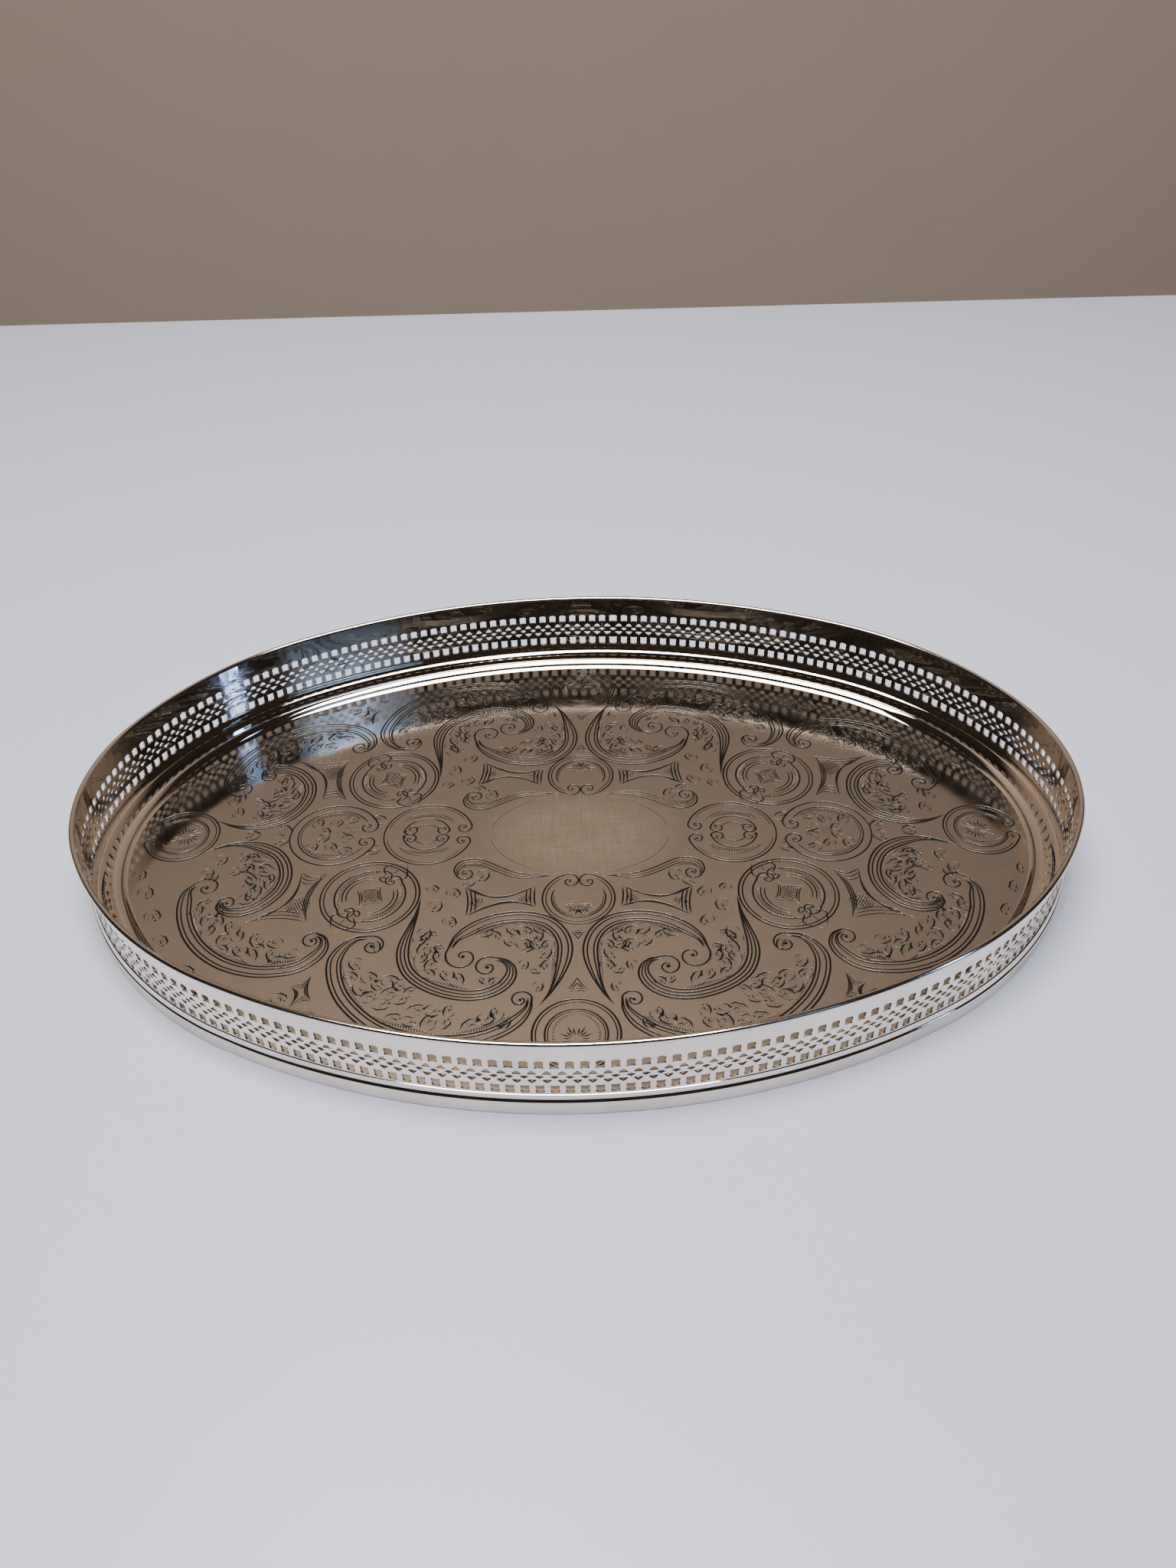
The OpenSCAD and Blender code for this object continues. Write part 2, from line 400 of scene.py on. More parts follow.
def stripPlace(along, up, out):
    # bends the flat strip round the oval, starting at the first arc
    middle = gallery["outer"] - gallery["thick"] / 2
    for arc in arcs:
        length = (arc[1] + middle) * arc[3]
        if along <= length or arc is arcs[-1]:
            return roundPlace(arc, arc[2] + along / (arc[1] + middle), out, up) * mm
        along -= length


def makeGallery():
    bm = bmesh.new()
    middle = gallery["outer"] - gallery["thick"] / 2
    lengths = [(arc[1] + middle) * arc[3] for arc in arcs]
    around = sum(lengths)
    pitch = around / (gallery["repeats"] - 1 + gallery["seamStretch"])
    backMiddle = sum(lengths[:2]) + lengths[2] / 2
    seam = backMiddle - gallery["seamRepeats"] * pitch
    for loop in cellLoops(pitch):
        ring = [bm.verts.new((x, y, 0)) for x, y in loop]
        for pair in zip(ring, ring[1:] + ring[:1]):
            bm.edges.new(pair)
    bmesh.ops.triangle_fill(bm, edges=bm.edges, use_beauty=True, normal=(0, 0, 1))
    cell = list(bm.verts) + list(bm.edges) + list(bm.faces)
    bmesh.ops.extrude_face_region(bm, geom=list(bm.faces), use_keep_orig=True)
    inner = [v for v in bm.verts if v not in set(cell)]
    bmesh.ops.translate(bm, verts=inner, vec=(0, 0, -gallery["thick"]))
    # the hole walls take the second finish, a painted shade that is dark in patches
    for face in bm.faces:
        face.material_index = 0 if abs(face.normal.z) > 0.5 else 1
    # the walls between repeats would lie inside the metal
    side = [f for f in bm.faces if abs(f.normal.x) > 0.9
            and all(abs(abs(v.co.x) - pitch / 2) < 1e-4 for v in f.verts)]
    bmesh.ops.delete(bm, geom=side, context="FACES")
    cell = list(bm.verts) + list(bm.edges) + list(bm.faces)
    stretch = gallery["seamStretch"]
    for k in range(1, gallery["repeats"]):
        copied = bmesh.ops.duplicate(bm, geom=cell)["geom"]
        shift = pitch * (k + (stretch - 1) / 2)
        bmesh.ops.translate(bm, verts=[g for g in copied if isinstance(g, bmesh.types.BMVert)],
                            vec=(shift, 0, 0))
    for vert in [g for g in cell if isinstance(g, bmesh.types.BMVert)]:
        vert.co.x *= stretch
    bmesh.ops.remove_doubles(bm, verts=bm.verts, dist=weldWithin)
    for vert in bm.verts:
        along = (seam + vert.co.x) % around
        vert.co = stripPlace(along, vert.co.y, gallery["outer"] + vert.co.z)
    # its second finish paints shade on the walls of the holes
    return finishPiece("galleryStrip", bm, "gallery_band",
                       polishedPlate("buffed silver-plated strip", 0.05, 0.055, 0.6), 40,
                       polishedPlate("painted shade on hole walls", 0.0, 0.35, 1.0, ("dull", "tarnishAndShade")))


# Moulding outside the gallery's foot: a hollow above a bright half-round bead

moulding = {"bottom": 5.1, "beadRadius": 0.9, "top": 9.0}


def makeMoulding():
    bm = bmesh.new()
    radius, low = moulding["beadRadius"], moulding["bottom"]
    face = gallery["outer"]
    middle = (tray["wireRadius"] - radius, low + radius)
    bead = roundSection(middle, radius, -90, 62, 12)
    hollow = bulge(bead[-1], (face + 0.25, moulding["top"] - 0.1), -0.35, 8)[1:]
    section = [(face, low)] + bead + hollow + [(face, moulding["top"])]
    sweepRound(bm, section)
    return finishPiece("outerMoulding", bm, "outer_moulding",
                       polishedPlate("buffed silver-plated moulding", 0.03, 0.05, 0.5), 50)


# Foot: a splayed strip, rounded where it stands on the table

foot = {"thick": 0.9, "top": 5.6, "bend": 5.1, "splay": 1.1}


def makeFoot():
    bm = bmesh.new()
    thick, inside = foot["thick"], gallery["outer"] - foot["thick"]
    toe = thick / 2
    low = roundSection((foot["splay"] - toe, toe), toe, -180, 0, 8)
    outside = bulge((foot["splay"], toe), (gallery["outer"] + 0.3, foot["bend"]), -0.25, 6)[1:]
    section = low + outside + [(gallery["outer"], foot["bend"]), (gallery["outer"], foot["top"]),
                               (inside, foot["top"]), (inside, foot["bend"])]
    back = bulge((inside, foot["bend"]), (foot["splay"] - thick, toe), 0.2, 4)[1:-1]
    sweepRound(bm, section + back)
    return finishPiece("footRim", bm, "foot_rim",
                       polishedPlate("buffed silver-plated foot", 0.08, 0.12, 0.7), 50)


# Base: one stamped sheet, its border first, then the engraved field

plate = {
    "fieldUp": 2.2,
    "sheet": 0.9,
    "border": 12.8,            # from the rim wire in to the field's edge
    "turnUp": (-11.5, 3.05),   # the field's edge curls up to here
    "crease": (-11.35, 2.45),
    "beadStart": (-10.7, 3.6),
    "beadBrow": (-8.7, 4.85),
    "beadTop": (-7.6, 5.1),
    "hollowEnd": (-4.3, 4.9),  # a wall rises from here to the lip
    "lipStart": (-3.3, 5.95),
    "lipWidth": 2.0,
}


def borderSection():
    edge, up, level = -plate["border"], plate["fieldUp"], gallery["foot"]
    turnUp = bulge((edge, up), plate["turnUp"], -0.05, 4)
    bead = bulge(plate["crease"], plate["beadStart"], 0.02, 2)
    bead += bulge(plate["beadStart"], plate["beadBrow"], 0.067, 5)[1:]
    bead += bulge(plate["beadBrow"], plate["beadTop"], 0.065, 4)[1:]
    hollow = bulge(plate["beadTop"], plate["hollowEnd"], -0.03, 3)[1:]
    lipEdge = (gallery["outer"] - plate["lipWidth"], level)
    lip = bulge(plate["lipStart"], lipEdge, 0.035, 3) + [(gallery["outer"], level)]
    under = [(edge, up), plate["turnUp"], plate["beadTop"], plate["hollowEnd"], lipEdge, lip[-1]]
    lowered = [(out, height - plate["sheet"]) for out, height in under]
    return turnUp + bead + hollow + lip, lowered[::-1]


# Engraving: graver cuts in one quarter of the field, mirrored into the other three.
# Places are (across, away) in mm from the field's middle, away being towards a long side.

engraving = {
    "turned": -1.84,         # degrees: the pattern sits slightly askew on the oval
    "shift": 0.3,            # mm along the tray
    "depthShare": 0.27,      # depth of a cut for its width, a wide V
    "sag": 0.05,             # mm that a straight facet may leave the curve
    "longest": 10.0,         # mm, longest facet
    "widen": 1.15,           # the graver's cuts, over the widths given below
    "taper": 1.8,            # mm over which a cut runs out to a point
    "hair": 0.02,            # mm, half a cut's width where it ends in one place
    "clear": 0.5,            # mm kept free inside the field's edge
    "step": 0.6,             # mm between the places of a curve as it is drawn
    "apart": 0.05,           # mm, least distance between two places of a cut
    "meet": 0.004,           # mm, places of different cuts closer than this become one
    "curlTurns": 1.25,
    "leafLean": 38,          # degrees that the leaves lean along their band
}
cuts = []                    # path, width, and whether each end runs out to a point


def polar(centre, radius, degrees):
    angle = math.radians(degrees)
    return Vector((centre[0] + radius * math.cos(angle), centre[1] + radius * math.sin(angle)))


def arcPath(centre, radius, first, last):
    steps = max(2, round(abs(math.radians(last - first)) * radius / engraving["step"]))
    return [polar(centre, radius, first + (last - first) * i / steps) for i in range(steps + 1)]


def spline(points):
    # a smooth path through a few places
    points = [Vector(p) for p in points]
    guides = [2 * points[0] - points[1]] + points + [2 * points[-1] - points[-2]]
    made = []
    for a, b, c, d in zip(guides, guides[1:], guides[2:], guides[3:]):
        count = max(1, round((c - b).length / engraving["step"]))
        for i in range(count):
            t = i / count
            made.append(0.5 * (2 * b + (c - a) * t + (2 * a - 5 * b + 4 * c - d) * t * t
                               + (3 * b - a - 3 * c + d) * t ** 3))
    return made + [points[-1]]


def curled(path, centre, radius, way):
    # carries a path on into a spiral that closes on centre; way is +1 where angles grow
    start = path[-1] - Vector(centre)
    angle, reach = math.atan2(start.y, start.x), start.length
    inner, turns = radius * 0.22, engraving["curlTurns"]
    steps = max(10, round(turns * 22))
    spiral = []
    for i in range(1, steps + 1):
        t = i / steps
        size = inner + (reach - inner) * (1 - t) ** 1.15
        spiral.append(polar(centre, size, math.degrees(angle + way * turns * 2 * math.pi * t)))
    dot(centre, radius * 0.3)
    return path + spiral


def cut(path, width, ends=(True, True)):
    # notes one cut of the graver, leaving out places that all but touch
    kept = [Vector(path[0])]
    for p in path[1:]:
        if (Vector(p) - kept[-1]).length > engraving["apart"]:
            kept.append(Vector(p))
    if len(kept) > 1:
        cuts.append((kept, width, ends))


def dot(centre, size):
    # a punched eye: a short fat cut
    cut([polar(centre, size * 0.8, 200), Vector(centre), polar(centre, size * 0.8, 20)], size * 1.3)


def ease(t):
    t = min(1, max(0, t))
    return t * t * (3 - 2 * t)


def sideways(path, way):
    # unit vectors pointing to the hollow side of a path that turns by way
    made = []
    for i in range(len(path)):
        along = path[min(i + 1, len(path) - 1)] - path[max(i - 1, 0)]
        along.normalize()
        made.append(way * Vector((-along.y, along.x)))
    return made


def comb(path, inward, offsets, first, last, length, gap=0.95):
    # short hatching strokes along the inner edge of a band
    run, due = 0, 0
    total = sum((b - a).length for a, b in zip(path, path[1:]))
    for i in range(1, len(path)):
        run += (path[i] - path[i - 1]).length
        t = run / total
        if run >= due and first <= t <= last:
            due = run + gap
            share = math.sin(math.pi * (t - first) / (last - first)) ** 0.6
            start = path[i] + inward[i] * (offsets[i] + 0.45)
            lean = (path[i] - path[i - 1]).normalized() * 0.25
            cut([start, start + inward[i] * length * max(0.35, share) + lean], 0.44)


def leaf(at, degrees, size, hand=1):
    # an acanthus tip: a bowed thick-and-thin stroke that hooks over, its under side and shading
    at, way = Vector(at), polar((0, 0), size, degrees)
    side = Vector((-way.y, way.x)) * hand

    def place(ahead, across):
        return at + way * ahead + side * across

    cut([place(-0.1, -0.08), place(0.28, 0.18), place(0.7, 0.2), place(1.0, 0)], 0.68)
    cut([place(1.0, -0.04), place(0.93, -0.2), place(0.76, -0.12)], 0.5)
    cut([place(0.3, -0.18), place(0.62, -0.16), place(0.8, -0.38)], 0.56)
    cut([place(-0.1, -0.36), place(0.2, -0.62), place(0.56, -0.68)], 0.4)
    cut([place(0.36, 0.04), place(0.5, -0.06)], 0.36)


def leavesAlong(path, inward, reach, first, last, count, size):
    # a row of leaves in the space that a band encloses, no two quite alike
    for k in range(count):
        t = first + (last - first) * (k + 0.5) / count
        i = min(len(path) - 2, round(t * (len(path) - 1)))
        out = inward[i]
        degrees = math.degrees(math.atan2(out.y, out.x))
        along = (path[i + 1] - path[i]).normalized()
        lean = engraving["leafLean"] if along.cross(out) > 0 else -engraving["leafLean"]
        grown = size * (0.86 + 0.28 * ((k * 7) % 5) / 4)
        leaf(path[i] + out * reach, degrees + lean * (0.5 + 0.5 * ((k * 3) % 4)), grown,
             1 - 2 * (k % 2))


def scroll(points, way, bands, endCurl, startCurl=None, combs=(), leaves=()):
    # a banded scroll: parallel cuts that part after the tail and close on the curl
    # bands hold (offset, width), a curl (across, away, radius), combs (first, until, length)
    # and leaves (reach, first, last, count, size); first and last are shares of the path
    path = spline(points)
    inward = sideways(path, way)
    last = len(path) - 1

    def spread(i):
        t = i / last
        opening = 0.3 + 0.7 * ease(t / 0.12) if startCurl else ease(t / 0.3)
        return opening * (1 - 0.7 * ease((t - 0.84) / 0.16))

    for k, (offset, width) in enumerate(bands):
        line = [p + inward[i] * offset * spread(i) for i, p in enumerate(path)]
        if k == 0:
            line = curled(line, endCurl[:2], endCurl[2], way)
            if startCurl:
                line = curled(line[::-1], startCurl[:2], startCurl[2], -way)[::-1]
        cut(line, width)
    inner = bands[-1][0]
    offsets = [inner * spread(i) for i in range(last + 1)]
    for first, until, length in combs:
        comb(path, inward, offsets, first, until, length)
    for row in leaves:
        leavesAlong(path, inward, *row)


def frameLines(sides, scales, width):
    # a four-sided panel with bowed sides, nested; each side is (corner, middle of the side)
    outline = []
    for i, (corner, middle) in enumerate(sides):
        after = sides[(i + 1) % len(sides)][0]
        a, m, b = Vector(corner), Vector(middle), Vector(after)
        guide = 2 * m - (a + b) / 2
        outline.append([a * (1 - t) ** 2 + guide * 2 * t * (1 - t) + b * t * t
                        for t in (j / 14 for j in range(15))])
    centre = sum((Vector(c) for side in sides for c in side), Vector((0, 0))) / len(sides) / 2
    for scale in scales:
        for path in outline:
            cut([centre + (p - centre) * scale for p in path], width)


def crossHatch(centre, radius, gap, degrees, width=0.36):
    # a round patch of fine cuts that cross
    for turn in (degrees, degrees + 76):
        reach = -radius
        while reach <= radius:
            half = math.sqrt(radius * radius - reach * reach)
            middle = polar(centre, reach, turn)
            cut([polar(middle, half, turn + 90), polar(middle, half, turn - 90)], width)
            reach += gap


def fan(centre, start, reach, first, last, count, width):
    # long and short petals that spread from a centre
    for k in range(count):
        degrees = first + (last - first) * k / max(1, count - 1)
        long = reach * (0.8 + 0.2 * (k % 2))
        cut([polar(centre, start, degrees), polar(centre, (start + long) / 2, degrees + 4),
             polar(centre, long, degrees + 2)], width)


def roundels():
    # the line round the plain oval, then the rings on the two axes and what they hold
    cut([Vector((38 * math.cos(a), 25.5 * math.sin(a)))
         for a in (0.12 + 1.35 * i / 30 for i in range(31))], 0.2)
    near = (0, 39.2)         # roundel beside the plain oval
    cut(curled(arcPath(near, 14.6, 90, -72), (3.7, 29.6), 3.0, -1), 0.62, (False, True))
    for radius, width, last in ((13.2, 0.42, -62), (10.9, 0.6, -30), (10.0, 0.36, -10)):
        cut(arcPath(near, radius, 90, last), width, (False, True))
    fan((0, 42.5), 2.6, 6.6, 4, 90, 7, 0.6)
    fan((0, 42.5), 1.0, 3.2, -30, 80, 5, 0.34)
    outer = (0, 107.8)       # roundel at the middle of each long side
    for radius, width in ((16, 0.7), (14.7, 0.45), (11.4, 0.62), (10.4, 0.36)):
        cut(arcPath(outer, radius, -90, 90), width, (False, False))
    shell = arcPath(outer, 10.0, -88, 88)
    comb(shell, sideways(shell, 1), [0.2] * len(shell), 0.02, 0.98, 1.7, 0.8)
    fan((0, 110), 1.4, 6.8, -80, 84, 10, 0.62)
    ends = (170.5, 0)        # roundel at each end
    cut(curled(arcPath(ends, 15.6, 180, 26), (182.6, 4.0), 3.2, -1), 0.7, (False, True))
    for radius, width, last in ((14.2, 0.45, 34), (11.1, 0.6, 14), (10.2, 0.36, 6)):
        cut(arcPath(ends, radius, 180, last), width, (False, True))
    shell = arcPath(ends, 9.8, 178, 24)
    comb(shell, sideways(shell, -1), [0.2] * len(shell), 0.05, 0.98, 1.6, 0.8)
    fan((169, 0), 1.6, 6.6, 175, 8, 9, 0.6)
    cut(curled(arcPath((64.7, 0), 19, 0, 163), (49.9, 4.2), 3.0, 1), 0.66, (False, True))
    cut(arcPath((64.7, 0), 17.6, 8, 150), 0.34)
    inner = (65.5, 0)        # facing hooks inside the ring by the plain oval
    cut(curled(arcPath(inner, 10, 90, 8), (72.2, 3.0), 2.2, -1), 0.62, (False, True))
    cut(curled(arcPath(inner, 10, 90, 168), (58.8, 3.0), 2.2, 1), 0.62, (False, True))
    hatched = arcPath(inner, 13.6, 40, 140)
    comb(hatched, sideways(hatched, 1), [0] * len(hatched), 0, 1, 2.6, 0.8)
    cut(arcPath(inner, 13.6, 34, 146), 0.36)
    cut(arcPath(inner, 6, 28, 152), 0.42)
    horn = (105, 0)
    cut(curled(arcPath(horn, 19, 0, 158), (91.2, 5.0), 3.0, 1), 0.66, (False, True))
    cut(arcPath(horn, 15.5, 0, 150), 0.6, (False, True))
    cut(arcPath(horn, 14.3, 0, 138), 0.34, (False, True))
    hatched = arcPath(horn, 14.3, 20, 120)
    comb(hatched, sideways(hatched, 1), [0] * len(hatched), 0, 1, 1.8)
    for degrees, away in ((14, 2.2), (38, 8.5), (82, 5.0), (118, 9.0), (150, 3.6)):
        leaf(polar(horn, away, degrees), degrees + 40, 5.4)


def diagonalMedallion():
    centre, axis = (84.3, 37.3), 58
    for radius, width in ((20, 0.7), (18.5, 0.56)):
        cut(arcPath(centre, radius, 0, 360), width, (False, False))
    for turn in (0, 180):
        a = axis + turn
        arc = arcPath(centre, 14.3, a + 24, a + 156)
        cut(curled(arc, polar(centre, 11.4, a + 170), 2.6, 1), 0.66, (True, True))
        hook = curled(arc[::-1], polar(centre, 11.4, a + 10), 2.6, -1)
        cut(hook[len(arc) - 1:], 0.6, (False, True))
        for radius, width in ((11.2, 0.56), (9.6, 0.5)):
            cut(arcPath(centre, radius, a + 36, a + 144), width)
        band = arcPath(centre, 14.1, a + 26, a + 154)
        comb(band, sideways(band, 1), [0] * len(band), 0, 1, 2.6, 0.8)
        tip = polar(centre, 21.6, a + 180)
        for side in (-1, 1):
            root = polar(centre, 12.6, a + 180 + side * 8)
            bow = polar(centre, 17.2, a + 180 + side * 19)
            cut(spline([root, bow, tip + (bow - root) * 0.25]), 0.6)
        cut([polar(centre, 13.5, a + 180), polar(centre, 19.5, a + 180)], 0.4)
    diamond = [(polar(centre, 7, axis + 90 * k), polar(centre, 4.1, axis + 90 * k + 45))
               for k in range(4)]
    frameLines(diamond, (1, 0.78), 0.45)
    crossHatch(centre, 4.6, 1.15, axis + 7, 0.34)


def innerOrnaments():
    ear = [(10, 26.3), (20.1, 25.6), (28, 23.4), (35, 19.4), (40.8, 16.3), (46, 15.9), (50.3, 18.3),
           (51.6, 22.8), (49.8, 26.8)]
    scroll(ear, 1, ((0, 0.62), (1.5, 0.4), (2.9, 0.5)), (46.6, 24.6, 3.0), combs=((0.45, 0.85, 1.5),))
    leaf((37, 24), 62, 6.5)
    leaf((42, 29.5), 28, 5.5)
    frameLines([((17.6, 32.3), (33, 38.4)), ((46.3, 32.3), (44.4, 40.5)),
                ((44.6, 49.2), (29.5, 41.8)), ((17, 44.3), (17.9, 38.5))], (1, 0.88, 0.76), 0.62)
    crossHatch((40.6, 41.2), 3.0, 0.95, 20)
    crossHatch((21.5, 39.6), 2.6, 0.95, 20)
    frameLines([((114.6, 23.3), (109.2, 26.2)), ((103.8, 23.3), (108.6, 37.2)),
                ((107.5, 51.6), (119.6, 49.2)), ((131.6, 51.4), (117.6, 41))], (1, 0.84, 0.68), 0.5)
    crossHatch((112.4, 42.6), 5.4, 1.0, 30)
    frameLines([((100, 79.6), (100.4, 86)), ((98, 92), (101.8, 91.6)),
                ((105.5, 94.5), (104.4, 89)), ((107, 84.5), (102.8, 83.6))], (1, 0.76, 0.52), 0.42)
    for tip, base, half in ((61.6, 56.8, 3.2), (81.6, 88, 4.2)):
        for inset in (0, 1.3):
            sign = 1 if base > tip else -1
            top, low = tip + sign * inset * 1.9, base - sign * inset * 0.7
            cut([(0, top), ((half - inset) * 0.42, (top + low) / 2), (half - inset, low)], 0.42,
                (False, True))
            cut([(0, low - sign * 0.5), (half - inset, low)], 0.42, (False, True))
    # foliage of the ground between the medallions
    for at, degrees, size in (((51, 33), 120, 6.0), ((55, 41), 70, 6.5), ((50.5, 49), 110, 6.0),
                              ((58, 56), 75, 6.5), ((84, 10), 20, 6.0), ((78, 62), 100, 6.0),
                              ((124, 2.5), 40, 6.5), ((137, 0.5), 20, 6.0), ((148, 13), 70, 6.0),
                              ((152, 21), 80, 6.0), ((181, 21), 100, 6.0), ((176, 31), 110, 7.0),
                              ((170, 44), 120, 7.0), ((163, 58), 120, 6.5), ((150, 74), 140, 6.5),
                              ((129, 88), 160, 6.5), ((112, 88), 150, 6.0), ((60, 31), 130, 5.0),
                              ((24, 101), 60, 5.0)):
        leaf(at, degrees, size)
    for at, degrees in (((98, 96), 96), ((108, 93), 70), ((118, 90), 60)):
        fan(at, 0.5, 6.0, degrees - 40, degrees + 40, 7, 0.4)


def greatScrolls():
    outerBands = ((0, 0.72), (1.5, 0.56), (3.9, 0.56), (5.3, 0.7))
    heart = [(14, 95), (9.5, 88.5), (5.2, 80), (2.4, 71), (2.5, 63), (5.5, 55.5), (11, 50),
             (18.5, 47.2), (27, 47), (35.5, 49.2), (43, 53.8), (48, 60), (49.9, 66.5)]
    scroll(heart, 1, ((0, 0.72), (1.5, 0.56), (4.0, 0.56), (5.4, 0.7)), (43.8, 70.5, 4.2),
           combs=((0.12, 0.34, 2.0), (0.4, 0.62, 2.2), (0.68, 0.86, 2.2)),
           leaves=((8.0, 0.12, 0.9, 10, 5.6), (14.6, 0.3, 0.8, 4, 5.6)))
    leaf((13, 84), 70, 4.5)
    leaf((19, 73), 75, 4.5)
    wave = [(63.5, 38), (64.5, 47), (66.8, 55), (69, 63), (69.2, 70), (66.8, 77.5), (62.5, 83),
            (56, 87.6), (48, 90.8), (40, 92), (32.5, 90.7), (26.5, 87), (23.2, 81.5), (23.6, 76),
            (27, 72.2), (31.5, 71)]
    scroll(wave, 1, ((0, 0.72), (1.4, 0.56), (2.9, 0.56), (4.4, 0.7)), (34.2, 75.9, 4.5),
           combs=((0.28, 0.42, 1.8), (0.48, 0.66, 2.2)),
           leaves=((7.8, 0.14, 0.66, 8, 5.6), (13.4, 0.2, 0.5, 3, 5.0), (6.6, 0.7, 0.88, 2, 4.6)))
    long = [(16.6, 90.5), (16.8, 97), (20.5, 104), (28, 109.5), (38, 112.8), (50, 113.5),
            (62, 111.5), (73, 107), (82, 100), (89.5, 91), (94, 81), (95.3, 71.5), (92, 64.3),
            (86.5, 60), (81, 59.3)]
    scroll(long, -1, outerBands, (79.6, 64.7, 4.7), startCurl=(20.9, 91.9, 3.8),
           combs=((0.1, 0.3, 2.0), (0.36, 0.56, 2.2), (0.62, 0.82, 2.2)),
           leaves=((8.2, 0.12, 0.88, 12, 6.2), (14.6, 0.3, 0.8, 7, 6.0), (20.5, 0.52, 0.74, 3, 5.6)))
    hook = [(157, 28.8), (160.8, 34), (161.2, 41.5), (158.6, 51), (153.2, 61), (145.1, 69.8),
            (134.3, 76.6), (121, 80), (107.3, 78.4), (99.1, 72.3), (96.4, 65.5), (98.3, 59.8),
            (102.5, 57.4)]
    scroll(hook, 1, outerBands, (103.4, 61.6, 3.9), startCurl=(151.9, 31.8, 4.5),
           combs=((0.14, 0.32, 2.0), (0.38, 0.58, 2.2), (0.64, 0.8, 2.2)),
           leaves=((8.2, 0.1, 0.84, 11, 6.2), (14.8, 0.2, 0.74, 7, 6.0)))
    inward = [(158, 10), (154.6, 8.1), (149, 5.4), (142.4, 4.1), (134.3, 5.1), (126.2, 9.5),
              (120.8, 16.9), (118.4, 26.4), (120.1, 35.8), (126.2, 43.9), (134.3, 48),
              (141.1, 47.5), (145.3, 43.5), (144.8, 39)]
    scroll(inward, -1, ((0, 0.72), (1.5, 0.56), (3.4, 0.56), (4.8, 0.7)), (141.5, 40.8, 3.6),
           combs=((0.2, 0.42, 2.0), (0.5, 0.7, 2.2)),
           leaves=((7.6, 0.18, 0.88, 10, 6.0), (14.0, 0.24, 0.78, 6, 5.6)))
    leaf((140, 22), 30, 5.0)
    leaf((149, 24), 60, 4.8)


def thinned(path):
    # drops places that lie on the line between their neighbours, to within the sag
    kept, last = [path[0]], 0
    for i in range(2, len(path)):
        start, end = path[last], path[i]
        span = (end - start).length
        if span < 1e-6:
            continue
        across = Vector((start.y - end.y, end.x - start.x)) / span
        worst = max(abs((p - start).dot(across)) for p in path[last + 1:i])
        if worst > engraving["sag"] or span > engraving["longest"]:
            kept.append(path[i - 1])
            last = i - 1
    return kept + [path[-1]]


def placedCuts():
    # mirrors the quarter, turns it on the tray and trims what would cross the border
    limit = -plate["border"] - engraving["clear"]
    turn = Matrix.Rotation(math.radians(engraving["turned"]), 2)
    placed = []
    for path, width, ends in cuts:
        thin = thinned(path)
        for mirror in ((1, 1), (-1, 1), (1, -1), (-1, -1)):
            run, whole = [], True
            for p in thin + [None]:
                if p is not None:
                    spot = turn @ Vector((p.x * mirror[0], -p.y * mirror[1]))
                    spot.x += engraving["shift"]
                    if outFromRim(spot.x, spot.y) + width / 2 < limit:
                        run.append(spot)
                        continue
                    whole = False
                if len(run) > 1:
                    placed.append((run, width, ends if whole else (True, True)))
                run = []
    return placed


def cutOutline(path, width, ends):
    # half widths along a cut that swells in its middle and runs out at its free ends
    lengths = [0]
    for a, b in zip(path, path[1:]):
        lengths.append(lengths[-1] + (b - a).length)
    total = lengths[-1]
    taper = min(engraving["taper"], total * 0.45)
    halves = []
    for run in lengths:
        share = 0.8 + 0.2 * math.sin(math.pi * run / total)
        if ends[0]:
            share *= min(1, run / taper)
        if ends[1]:
            share *= min(1, (total - run) / taper)
        halves.append(width / 2 * share * engraving["widen"])
    return halves


def noteStretch(grid, stretch):
    # files a stretch of a cut, with its half widths, under each square that it reaches
    a, b, halfA, halfB = stretch
    reach = max(halfA, halfB)
    lowX, highX = math.floor(min(a.x, b.x) - reach), math.floor(max(a.x, b.x) + reach)
    lowY, highY = math.floor(min(a.y, b.y) - reach), math.floor(max(a.y, b.y) + reach)
    for x in range(lowX, highX + 1):
        for y in range(lowY, highY + 1):
            grid.setdefault((x, y), []).append(stretch)


def cutAt(spot, grid):
    # the depth of the cuts at a place, and how far in it lies: 0 at an edge, 1 in the middle
    depth, inside = 0, 0
    for a, b, halfA, halfB in grid.get((math.floor(spot.x), math.floor(spot.y)), ()):
        line = b - a
        t = min(1, max(0, (spot - a).dot(line) / max(line.length_squared, 1e-9)))
        half = halfA + (halfB - halfA) * t
        away = (spot - (a + line * t)).length
        if away < half:
            depth = max(depth, 2 * engraving["depthShare"] * (half - away))
            inside = max(inside, 1 - away / half)
    return depth, inside


